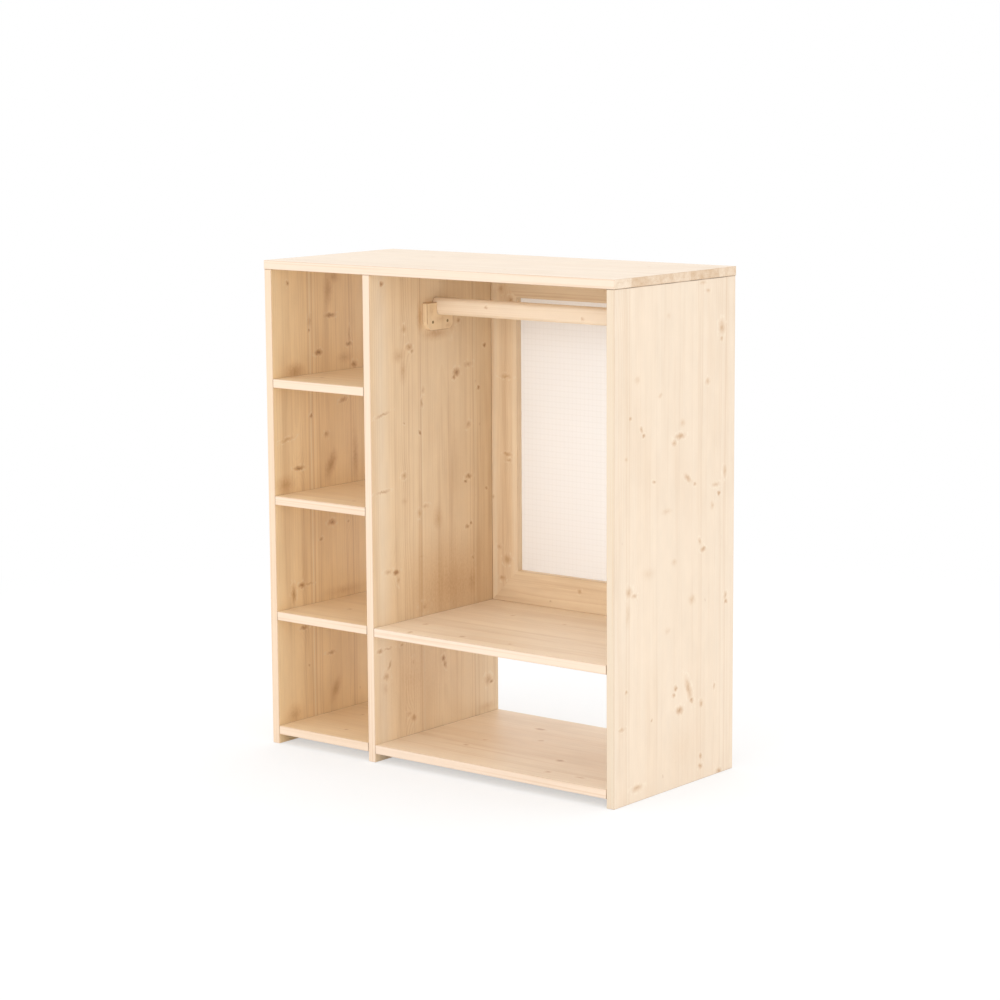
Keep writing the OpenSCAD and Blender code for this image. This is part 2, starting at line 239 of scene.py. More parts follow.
# Noise: its cells per millimetre along the grain, across it and through the board
BENDS = (0.0028, 0.004)
BUNCHES = (0.0012, 0.045, 0.045)
STREAKS = (0.002, 0.05, 0.05)
THREADS = (0.0018, 0.3, 0.3)
FIBRES = (0.035, 1.1, 1.1)
CLOUDS = (0.004, 0.011, 0.01)
BLOTCHES = (0.02, 0.045, 0.03)
RAGGED = (0.1, 0.14, 0.14)
MOTTLE = (0.16, 0.22, 0.22)
ARC_BREAKS = (0.09, 0.12, 0)
PIN_KNOTS = (0.0085, 0.019, 0)
END_PATCHES = (0.02, 0.07, 0.09)
END_SPECKS = (0.2, 0.6, 0.6)
JOINT_BREAKS = 0.012

# How far the noise jumps between a stave with the value 0 and one with the value 1
BEND_JUMP = 19
BUNCH_JUMP = 13
STREAK_JUMP = 31
THREAD_JUMP = 57

# Layers: the value where a layer starts, the value where it is whole, and its share there
STREAK_LAYER = (0.48, 0.78, 0.32)
THREAD_LAYER = (0.52, 0.75, 0.15)
CLOUD_LAYER = (0.45, 0.8, 0.2)
EDGE_LAYER = (0.48, 0.7, 0.35)
HALO_LAYER = (0.0, 0.7, 0.46)
KNOT_LAYER = (0.4, 1.2, 0.56)
DARK_LAYER = (0.95, 1.5, 0.5)
END_SPECK_LAYER = (0.55, 0.75, 0.2)
ARC_SHARE = 0.4
PIN_SHARE = 0.4
LINE_SHARE = 0.5
GLUE_SHARE = 0.2
UNSHADED_FACE_SHARE = 0.6

# The range of the tones drawn by chance, and how dark a stave of the lowest one is
TONE_RANGE = (0.25, 0.85)
LOWEST_DARK = 0.05

# How much lighter or darker the wood gets with its stave's tone, its fibres and its blotches
STAVE_LIGHT = 0.08
FIBRE_LIGHT = 0.07
BLOTCH_LIGHT = 0.1

# Roughness of the planed wood, and what its fibres, latewood, sawn ends and knots add to it
PLANED_ROUGHNESS = 0.5
FIBRE_ROUGHNESS = 0.16
LATEWOOD_ROUGHNESS = -0.05
END_ROUGHNESS = 0.15
KNOT_ROUGHNESS = -0.12
POLISHED_KNOT = (0.7, 1.3)

# Relief, and the shares of it by which fibres and latewood stand up and glue lines lie low
GRAIN_RELIEF = 0.12 * MM
FIBRE_HEIGHT = 0.5
LATEWOOD_HEIGHT = 0.3
GLUE_DEPTH = 0.6

# Millimetres from a board's own end, edge or face: where a band there starts, and where it is whole
END_BAND = (0.45, 0.3)
EDGE_BAND = (1.2, 0.4)
EASED_BAND = (1.5, 0.6)
JOINT_BAND = (1.7, 0.8)
FACE_BAND = (2, 1)

# Rings, in millimetres: how far a pith lies to the side and below, and the bends and taper of the trunk
PITH_SPREAD = 110
PITH_BELOW = 26
RING_BEND = 14
TAPER = 0.006
RING_TONES = [(0.0, 0.0), (0.45, 0.12), (0.8, 0.75), (0.93, 1.0), (1.0, 0.0)]

# How the rings' spacing and clearness vary with a stave's pith, with how steeply they are cut, and in bunches
LEAST_SPACING = 0.75
SPACING_RANGE = 0.5
LEAST_CLEAR = 0.14
CLEAR_RANGE = 0.36
STEEP_CUT = (0.1, 0.6)
FLAT_CUT_SHARE = 0.3
BUNCH_BAND = (0.4, 0.62)
LEAST_BUNCH = 0.2

# Knots: a centre's depth and its fall over one radius, how far an outline is shaken, the limits between a
# knot and a soft stain, the least half width that bends the rings, and the share of it that they give way
KNOT_CENTRE = 1.6
KNOT_FALL = 1.2
RAGGED_REACH = 11.0
FAINTEST_KNOT = 0.4
LARGEST_KNOT = 300
BENDING_KNOT = 4
KNOT_PUSH = 0.6

# How far that push reaches, in millimetres past a knot's own half width and past twice its half length
PUSH_PAST_SIDE = 5
PUSH_PAST_END = 10

# A knot's mottle, and the broken pale arc round it: its radius and half width in radii of the knot
LEAST_MOTTLE = 0.55
MOTTLE_RANGE = 0.85
ARC_RADIUS = 1.5
ARC_HALF_WIDTH = 0.45
ARC_BAND = (0.48, 0.6)

# Pin knots: how far from its middle a speck starts to fade and ends, in shares of a cell, the random values
# from which and above which a cell shows its speck, and how far one seed's cells lie from the next one's
PIN_SIZE = (0.01, 0.05)
PIN_KEPT = (0.5, 0.56)
PIN_SHIFT = 3.1

# Sawn ends: their tone where none is given, and what patches, specks and rings add to it
LEAST_END_TONE = 0.35
END_TONE_RANGE = 0.4
END_PATCH_TONE = 1.5
END_SPECK_TONE = 0.5
END_RING_TONE = 0.15

# Where the painted shade along a joint breaks, and its share there
JOINT_BREAK_BAND = (0.4, 0.6)
LEAST_JOINT = 0.35

# Millimetres by which the long growth lines bend, and half the width of a glue line
LINE_BEND = 12
GLUE_HALF_WIDTH = 0.8


# ---- Spruce: its grain, knots and edges ----


def near(part, size, band):
    """1 close to the end, edge or face of a size, and 0 further in."""
    start, whole = band
    return part.smooth(size / 2 - start, size / 2 - whole)


class Board:
    """A board's own place in millimetres from its middle, along the grain (run), across its face (side) and
    through it (depth), with the tone, pith and bends of the stave at each point."""

    def __init__(self, at, node, along, across, staves, tones, dice):
        low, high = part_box(node)
        axes = (along, across, 3 - along - across)
        parts = from_middle(at, node).parts()
        self.run, self.side, self.depth = [parts[axis] for axis in axes]
        self.place = combined(self.run, self.side, self.depth)
        self.length, self.width, self.thickness = [(high - low)[axis] / MM for axis in axes]
        self.share = self.side / self.width + 0.5
        self.stave_sum = sum(staves)
        self.stave_starts = [sum(staves[:i]) / self.stave_sum for i in range(len(staves))]
        own = [(tone, dice.random(), dice.random(), 1.0) for tone in tones]
        self.tone, self.pith_side, self.pith_deep = self.by_stave(own).parts()
        middles = [(sum(staves[:i]) + stave / 2) / self.stave_sum for i, stave in enumerate(staves)]
        self.stave_middle = self.by_stave(middles).parts()[0]
        bends = combined(self.run * BENDS[0], self.side * BENDS[1], self.tone * BEND_JUMP)
        self.bend = bends.noise(detail=2, roughness=0.4)

    def by_stave(self, values):
        """A plain colour or grey for each stave across the board."""
        return self.share.ramp(list(zip(self.stave_starts, values)), "CONSTANT")

    def stave_noise(self, cells, jump, **settings):
        """Noise that jumps sideways from stave to stave."""
        along, across, through = cells
        return combined(self.run * along, self.side * across + jump, self.depth * through).noise(**settings)

    def glue_lines(self):
        """1 on the thin glue lines between the staves."""
        half = GLUE_HALF_WIDTH / self.stave_sum
        stops = [(start + step * half, 1.0 - abs(step))
                 for start in self.stave_starts[1:] for step in (-1, 0, 1)]
        return self.share.ramp(stops).parts()[0]

    def long_lines(self, lines):
        """Clear growth lines that run the board's whole length: 1 on a dark one, -1 on a pale one."""
        stops = []
        for across, half, level in sorted(lines):
            centre = across / self.width + 0.5
            reach = half / self.width
            stops += [(centre - reach, 0.5), (centre, 0.5 + level / 2), (centre + reach, 0.5)]
        side = self.side + (self.bend - 0.5) * LINE_BEND
        return (side / self.width + 0.5).ramp(stops).parts()[0] * 2 - 1

    def rings(self, push, pith_depth, spacing):
        """Latewood from 0 to 1, in rings round each stave's pith, and how clearly the rings show."""
        side_off = self.side - (self.stave_middle - 0.5) * self.width - (self.pith_side - 0.5) * PITH_SPREAD
        deep_off = self.depth - (self.pith_deep - 0.5) * 2 * pith_depth - PITH_BELOW
        radius = (side_off * side_off + deep_off * deep_off).maths("SQRT")
        radius = radius + (self.bend - 0.5) * RING_BEND + self.run * TAPER
        if push is not None:
            radius = radius + push
        ring = (radius / (spacing * (LEAST_SPACING + SPACING_RANGE * self.pith_side))).maths("FRACT")
        late = ring.ramp(RING_TONES).parts()[0]
        steep = (abs(side_off) / radius).smooth(*STEEP_CUT, FLAT_CUT_SHARE, 1)
        bunch = self.stave_noise(BUNCHES, self.tone * BUNCH_JUMP, detail=1)
        bunch = bunch.smooth(*BUNCH_BAND, LEAST_BUNCH, 1)
        return late, steep * bunch * (LEAST_CLEAR + CLEAR_RANGE * self.pith_deep)

    def end_grain(self, late, ends, bare):
        """The colour of the sawn ends, with a tone for each stave, patches and specks."""
        tone = self.by_stave(ends).parts()[0] if ends else LEAST_END_TONE + self.tone * END_TONE_RANGE
        patch = self.place.scaled(END_PATCHES).noise(detail=4, roughness=0.7)
        speck = self.place.scaled(END_SPECKS).noise(detail=2, roughness=0.7)
        tone = tone + (patch - 0.5) * END_PATCH_TONE + (speck - 0.5) * END_SPECK_TONE + late * END_RING_TONE
        colour = tone.most(0.0).least(1.0).blend(bare, END_GRAIN)
        return speck.tint(colour, KNOT_BROWN, END_SPECK_LAYER)

    def edge_shade(self, colour, worn_and_shaded, joints, seed):
        """Darkens the eased edges by worn_and_shaded, partly as their own darker wood and partly as painted
        shade, and lays a thin broken line of painted shade along the joints, where the gap between boards
        would lie in shadow: joints says how dark it is at the grain's lower and upper end."""
        run = near(abs(self.run), self.length, EASED_BAND)
        side = near(abs(self.side), self.width, EASED_BAND)
        depth = near(abs(self.depth), self.thickness, EASED_BAND)
        colour = (run.least(side.most(depth)).most(side.least(depth)) * worn_and_shaded).blend(colour, ARRIS)
        if any(joints):
            low_end, high_end = [near(self.run * way, self.length, JOINT_BAND) for way in (-1, 1)]
            broken = combined(self.side * JOINT_BREAKS, self.depth * JOINT_BREAKS, seed).noise(detail=1)
            joint = (low_end * joints[0] + high_end * joints[1]) * side.most(depth)
            joint = joint * broken.smooth(*JOINT_BREAK_BAND, LEAST_JOINT, 1)
            colour = joint.blend(colour, JOINT_SHADE)
        return colour


def shaken(place):
    """The place with a small uneven shift, for ragged outlines."""
    shake = place.scaled(RAGGED).noise(detail=3, roughness=0.6, colour=True)
    reach = (RAGGED_REACH, RAGGED_REACH, 0)
    shifted = place.node("VectorMath", {0: shake, 1: reach, 2: place}, operation="MULTIPLY_ADD")
    return shifted.scaled((1, 1, 1), (-RAGGED_REACH / 2, -RAGGED_REACH / 2, 0))


def knot_values(place, knots):
    """How deep in a knot or stain a place is, how near a knot's rim, and how far knots push the rings."""
    depth = rim = push = None
    for along, across, long, wide, dark, *tilt in knots:
        spot = place
        if tilt:
            turn = {"Vector": place, "Center": (along, across, 0), "Angle": -math.radians(tilt[0])}
            spot = place.node("VectorRotate", turn, rotation_type="Z_AXIS")
        core = spot.scaled((1 / long, 1 / wide, 0), (-along / long, -across / wide, 0)).length()
        here = core.maths("MULTIPLY_ADD", -KNOT_FALL * dark, KNOT_CENTRE * dark)
        depth = here if depth is None else depth.most(here)
        if dark < FAINTEST_KNOT or long * wide > LARGEST_KNOT:
            continue
        rim = core if rim is None else rim.least(core)
        if min(long, wide) < BENDING_KNOT:
            continue
        reach = (1 / (2 * long + PUSH_PAST_END), 1 / (wide + PUSH_PAST_SIDE))
        far = spot.scaled((*reach, 0), (-along * reach[0], -across * reach[1], 0))
        square = far.node("VectorMath", {0: far, 1: far}, output=1, operation="DOT_PRODUCT")
        aside = KNOT_PUSH * wide / (1 + square)
        push = aside if push is None else push + aside
    return depth, rim, push


def knot_colour(colour, place, in_knot, rim):
    """Lays the knots over the wood: a soft brown cloud, a small dark heart and a broken pale arc."""
    mottle = place.scaled(MOTTLE).noise(detail=3, roughness=0.6)
    in_knot = in_knot * (LEAST_MOTTLE + MOTTLE_RANGE * mottle)
    if rim is not None:
        arc = abs(rim - ARC_RADIUS).smooth(0.0, ARC_HALF_WIDTH, 1, 0)
        broken = place.scaled(ARC_BREAKS, (7, 3, 0)).noise().smooth(*ARC_BAND)
        colour = (arc * broken * ARC_SHARE).blend(colour, PALE_ARC)
    colour = in_knot.tint(colour, HALO, HALO_LAYER)
    colour = in_knot.tint(colour, KNOT_BROWN, KNOT_LAYER)
    return in_knot.tint(colour, KNOT_DARK, DARK_LAYER)


def pin_knots(place, seed):
    """1 on small round specks here and there."""
    cells = place.scaled(PIN_KNOTS, (seed * PIN_SHIFT, 0, 0))
    distance = cells.node("TexVoronoi", {"Vector": cells, "Scale": 1.0})
    chance = Value(cells.tree, distance.socket.node.outputs["Color"]).parts()[0]
    return distance.smooth(*PIN_SIZE, 1, 0) * chance.smooth(*PIN_KEPT)


def spruce(node, along, across, staves, seed, knots, tones=None, ends=None, lines=(), pith_depth=45,
           spacing=3.4, warmth=0.5, pale=0.0, contrast=1.0, planed=0.8, edge=EDGE_WOOD_AND_SHADE, worn_and_shaded=0.3,
           joints=(0, 0), unshaded_face=0):
    """Edge-glued spruce for one board. Its staves' widths run across it from the board's lower end of that
    axis, with a tone from 0, dark, to 1, pale, and a tone for their ends. Knots and stains, with a few
    patches of painted shade among them, are (along, across, half length, half width, darkness, tilt in
    degrees) from the board's middle, and lines are (across, half width, level). Its long edges are
    blended to the colour edge by planed; that colour is set darker partly to offset the light on the
    front edges, as painted shade. Its eased edges are darkened by worn_and_shaded, partly as their own
    darker wood and partly as painted shade, and the joints get a thin line of painted shade.
    unshaded_face is 1 or -1 where the face at that end of its thickness is paler; the other face keeps
    the board's darker, warmer tone, which partly stands in for the shade it lies in."""
    finish = Finish("spruce_" + node, specular=0.4, coat_weight=0.45, coat_roughness=0.4)
    dice = random.Random(seed)
    tones = tones or [dice.uniform(*TONE_RANGE) for stave in staves]
    board = Board(finish.at, node, along, across, staves, tones, dice)
    spot = shaken(board.place)
    in_knot, rim, push = knot_values(spot, knots)
    late, clear = board.rings(push, pith_depth, spacing)
    streak = board.stave_noise(STREAKS, board.tone * STREAK_JUMP, detail=3, roughness=0.6)
    thread = board.stave_noise(THREADS, board.pith_side * THREAD_JUMP, detail=2, roughness=0.55)
    fibre = board.place.scaled(FIBRES).noise(detail=3, roughness=0.7)
    cloud = board.place.scaled(CLOUDS, (seed, 0, 0)).noise(detail=2)
    blotch = board.place.scaled(BLOTCHES, (0, seed, 0)).noise(detail=3)

    # The wood with its grain, tones and knots
    bare = mixed(mixed(SAPWOOD, HEARTWOOD, warmth), PALE_WOOD_AND_LIGHT, pale)
    colour = (late * clear * contrast).blend(bare, LATEWOOD)
    colour = streak.tint(colour, STREAK, STREAK_LAYER, contrast)
    colour = thread.tint(colour, STREAK, THREAD_LAYER, contrast)
    colour = cloud.tint(colour, STREAK, CLOUD_LAYER, contrast)
    if lines:
        line = board.long_lines(lines) * (LINE_SHARE * contrast)
        colour = line.most(0).blend(colour, STREAK)
        colour = (line * -1).most(0).blend(colour, PALE_ARC)
    light = 1 - contrast * (LOWEST_DARK - STAVE_LIGHT * (board.tone - TONE_RANGE[0]))
    light = light + (fibre - 0.5) * FIBRE_LIGHT + (blotch - 0.5) * BLOTCH_LIGHT
    colour = colour.node("VectorMath", {0: colour, 1: combined(light, light, light)}, operation="MULTIPLY")
    colour = knot_colour(colour, board.place, in_knot, rim)
    colour = (pin_knots(spot, seed) * PIN_SHARE).blend(colour, KNOT_BROWN)
    # One face turned back towards sapwood; the other keeps the board's darker, warmer tone, which partly
    # stands in for the shade it lies in, painted shade
    if unshaded_face:
        face = near(board.depth * unshaded_face, board.thickness, FACE_BAND)
        colour = (face * UNSHADED_FACE_SHARE).blend(colour, SAPWOOD)

    # Long edges, glue lines, sawn ends and eased edges
    height = fibre * FIBRE_HEIGHT + late * LATEWOOD_HEIGHT
    edge = thread.tint(edge, STREAK, EDGE_LAYER)
    colour = (near(abs(board.side), board.width, EDGE_BAND) * planed).blend(colour, edge)
    if len(staves) > 1:
        glue = board.glue_lines()
        colour = (glue * GLUE_SHARE).blend(colour, GLUE)
        height = height - glue * GLUE_DEPTH
    end = near(abs(board.run), board.length, END_BAND)
    colour = end.blend(colour, board.end_grain(late, ends, bare))
    # Eased edges darkened, partly as painted shade, and a thin line of painted shade along the joints
    colour = board.edge_shade(colour, worn_and_shaded, joints, seed)

    rough = PLANED_ROUGHNESS + (fibre - 0.5) * FIBRE_ROUGHNESS + late * LATEWOOD_ROUGHNESS
    rough = rough + end * END_ROUGHNESS + in_knot.smooth(*POLISHED_KNOT) * KNOT_ROUGHNESS
    finish.set(base_color=colour, roughness=rough)
    finish.bump(height, GRAIN_RELIEF, 0.6)
    return finish.material


# ---- The boards' own marks, in millimetres ----

UPRIGHT_MIDDLE = 491
STILE_MIDDLE = 629

# Growth lines: the place across a board, the half width, and how dark, or pale where it is below 0
RIGHT_SIDE_LINES = [
    (-160, 2.5, 0.6), (-155, 2.5, -0.6), (-150, 3, 0.7), (76, 2, 0.5), (80, 2, -0.4), (86, 3, 0.7),
    (151, 2, 0.5), (157, 2, -0.5), (165, 3, 0.6),
]
DIVIDER_LINES = [
    (-170, 30, -0.8), (-98, 2, 0.5), (-73, 2, 0.5), (-54, 2, 0.5), (-48, 3, 0.8), (-42, 2, -0.6),
    (112, 2, 0.5), (121, 2.5, 0.7), (127, 2.5, -0.5), (134, 2, 0.5),
]
LEFT_SIDE_LINES = [
    (-93, 3, 0.7), (-87, 2.5, -0.9), (-81, 2.5, 0.9), (-74, 2, -0.5), (-69, 2, 0.6), (-62, 2.5, 0.5),
    (38, 3, 0.8), (46, 2, 0.5),
]
STILE_LINES = [(-26, 7, -0.5), (2, 17, 0.4), (26, 8, -0.4)]

# Knots and stains by their height above the floor, with a few patches of painted shade on the left side and
# the divider
LEFT_SIDE_KNOTS_AND_SHADE = [
    (950, -150, 5, 6, 0.85), (930, -28, 42, 15, 0.5), (876, -23, 5, 17, 0.8), (955, -12, 14, 24, 0.44),
    (868, -86, 14, 6, 0.45), (850, -88, 5, 4, 0.65), (802, -60, 6, 12, 1.0), (812, 34, 5, 10, 0.8),
    (830, 35, 18, 4, 0.45), (785, 20, 12, 26, 0.42), (768, 51, 7, 9, 0.85), (769, -132, 20, 30, 0.62),
    (696, 14, 13, 5, 0.65, 75), (672, -86, 5, 5, 0.85), (629, -40, 7, 8, 0.6), (631, -160, 22, 4, 0.5, 80),
    (568, -125, 5, 16, 0.9), (565, -27, 32, 15, 0.64, 28), (538, -168, 20, 30, 0.55), (575, 50, 65, 10, 0.48),
    (442, -27, 7, 12, 0.9), (411, -60, 4, 6, 0.7), (438, 25, 4, 5, 0.55), (322, -123, 6, 10, 0.9),
    (322, -100, 2.5, 14, 0.45), (306, -148, 22, 7, 0.7), (232, -119, 4, 13, 0.7), (165, -35, 4, 14, 0.6),
    # (292, 12): a darker band along the bottom of the third bay
    (150, -104, 4, 4, 0.5), (292, 12, 14, 70, 0.36), (84, -23, 30, 14, 0.55, 28), (52, -150, 24, 26, 0.48),
    # (915, -140): a broad darker patch at the top front, under the top panel, painted shade
    (915, -140, 80, 60, 0.15),
]
DIVIDER_KNOTS_AND_SHADE = [
    (962, -162, 5, 7, 0.85), (868, -95, 8, 8, 0.5), (830, -80, 6, 9, 0.65), (822, -72, 4, 5, 0.7),
    (815, -112, 16, 22, 0.4), (783, -100, 28, 12, 0.42), (766, 68, 9, 11, 0.9), (757, 60, 5, 6, 0.8),
    (780, 105, 6, 14, 0.45), (815, 160, 5, 5, 0.85), (727, 139, 5, 5, 0.85), (655, 105, 8, 9, 0.55),
    (714, -43, 10, 4, 0.6), (740, -38, 8, 5, 0.45), (702, -163, 22, 3.5, 0.55, 78), (679, -98, 3, 4, 0.6),
    (653, -49, 5, 4, 1.0), (547, -165, 20, 3.5, 0.6, 85), (572, -100, 6, 8, 0.55), (520, -100, 8, 10, 0.35),
    (490, -53, 8, 8, 0.42), (502, -35, 5, 12, 0.42), (472, 5, 34, 18, 0.42), (547, 105, 6, 12, 0.8),
    (537, 95, 4, 6, 0.8), (515, 163, 4, 4, 0.7), (449, 112, 4, 4, 0.85), (442, 100, 5, 9, 0.7),
    (375, 117, 5, 6, 0.75), (378, -128, 6, 11, 1.0), (383, -152, 6, 12, 0.45), (362, -120, 10, 5, 0.45),
    (400, -48, 6, 14, 0.38), (325, 112, 55, 26, 0.5), (330, 20, 70, 70, 0.42), (295, -40, 10, 15, 0.5),
    (872, 76, 6, 6, 0.7), (855, -3, 4, 6, 0.6), (225, -180, 5, 10, 0.7), (227, -155, 3, 15, 0.5),
    (192, -151, 14, 4, 0.65, 34), (170, -162, 10, 11, 0.6), (145, -165, 20, 14, 0.35),
    (228, -112, 4, 6, 0.55), (185, -77, 10, 6, 0.5), (177, 18, 7, 6, 0.95), (164, 24, 10, 5, 0.7, -20),
    (80, -92, 5, 10, 0.5), (70, -77, 9, 11, 0.7), (106, 165, 12, 12, 0.55), (101, 175, 5, 6, 0.9),
    # (50, 160): a dark patch at the bottom back of the divider, painted shade
    (50, 160, 10, 30, 0.38),
]
DIVIDER_STAINS_AND_SHADE = [
    # The first three are painted shade round the rail bracket's rim, where its contact shadow falls; the rest
    # are stains in the wood
    (851, 4, 14, 46, 0.5), (888, -46, 36, 10, 0.5), (872, 52, 22, 10, 0.5), (560, 70, 220, 120, 0.17),
    (330, 40, 125, 170, 0.46), (150, -80, 120, 120, 0.34), (150, 70, 110, 120, 0.15),
]
RIGHT_SIDE_KNOTS = [
    (975, 88, 4, 12, 0.45), (960, 105, 5, 8, 0.5), (885, 153, 14, 11, 0.6), (863, 152, 5, 6, 0.65),
    (920, -25, 7, 8, 0.3), (808, -125, 9, 10, 0.38), (785, 105, 7, 8, 0.5), (772, -52, 6, 8, 0.38),
    (737, -148, 4, 5, 0.6), (713, -113, 7, 4, 0.65, -30), (701, -105, 4, 5, 0.8), (712, 22, 9, 10, 0.4),
    (688, 14, 6, 17, 0.72), (676, -6, 6, 8, 0.6), (662, -160, 5, 6, 0.4), (610, -72, 4, 6, 0.65),
    (604, 40, 16, 6, 0.6, -56), (590, 62, 4, 5, 0.65), (603, 166, 12, 7, 0.5), (580, 135, 5, 14, 0.5),
    (562, 145, 5, 6, 0.85), (548, -30, 6, 18, 0.36), (540, 123, 9, 7, 0.42), (475, 80, 7, 5, 0.55),
    (458, 92, 6, 9, 0.8), (446, -5, 7, 9, 0.38), (436, -90, 13, 26, 0.26), (410, -152, 11, 10, 0.6),
    (400, -135, 4, 10, 0.55), (368, -155, 28, 8, 0.32), (365, 55, 11, 13, 0.45), (356, 170, 9, 5, 0.55),
    (343, 172, 5, 6, 0.85), (316, -25, 8, 11, 0.32), (198, 2, 6, 6, 0.85), (185, -5, 5, 6, 0.7),
    (190, 45, 27, 9, 0.62, -23), (165, 55, 5, 6, 0.85), (152, 15, 9, 13, 0.8), (180, 133, 6, 5, 0.6),
    (219, -160, 4, 5, 0.6), (153, 88, 8, 8, 0.6), (150, -78, 4, 4, 0.6), (150, -174, 4, 12, 0.5),
    (47, 86, 7, 5, 0.7), (27, 86, 6, 7, 0.75), (27, -125, 7, 18, 0.6), (5, 150, 6, 10, 0.7),
    (75, 20, 75, 80, 0.2),
]
STILE_KNOTS = [
    (750, 4, 5, 15, 0.5), (588, 8, 4, 12, 0.6), (575, 12, 4, 8, 0.5), (390, -15, 6, 7, 0.5),
    (365, 6, 10, 11, 0.6), (325, -7, 6, 9, 0.55), (495, -30, 5, 3, 0.5), (908, 18, 8, 9, 0.6),
    (930, -7, 8, 8, 0.5), (962, 2, 12, 14, 0.5), (944, 17, 9, 5, 0.55, 30),
]

# Knots and stains by their place along the board
BRACKET_MARKS = [(-6, 2, 9, 26, 0.3), (12, -26, 12, 7, 0.3), (-20, 24, 6, 12, 0.3)]
TOP_KNOTS = [
    (-210, 60, 6, 6, 0.4), (120, -120, 5, 5, 0.4), (310, 90, 6, 6, 0.4), (-330, -60, 5, 5, 0.4),
    (20, 150, 5, 5, 0.4),
]
RIGHT_SHELF_KNOTS = [
    (-206, -185, 5, 7, 0.8), (-96, -155, 8, 6, 0.6), (-232, -105, 6, 10, 0.5), (24, -155, 7, 6, 0.5),
    (-146, 70, 6, 6, 0.5), (-6, 60, 5, 5, 0.45), (190, 30, 6, 5, 0.5),
]
RIGHT_BOTTOM_KNOTS = [
    (84, -75, 9, 8, 0.75), (-106, 108, 14, 7, 0.75), (-146, -85, 9, 6, 0.6), (118, -158, 9, 8, 0.55),
    (194, -155, 12, 6, 0.55), (-46, 32, 8, 6, 0.5), (-141, -30, 6, 6, 0.42),
]


def from_height(middle, spots, strength=1.0):
    """Knots given by their height above the floor, moved to a board's middle."""
    return [(height - middle, across, long, wide, dark * strength, *tilt)
            for height, across, long, wide, dark, *tilt in spots]


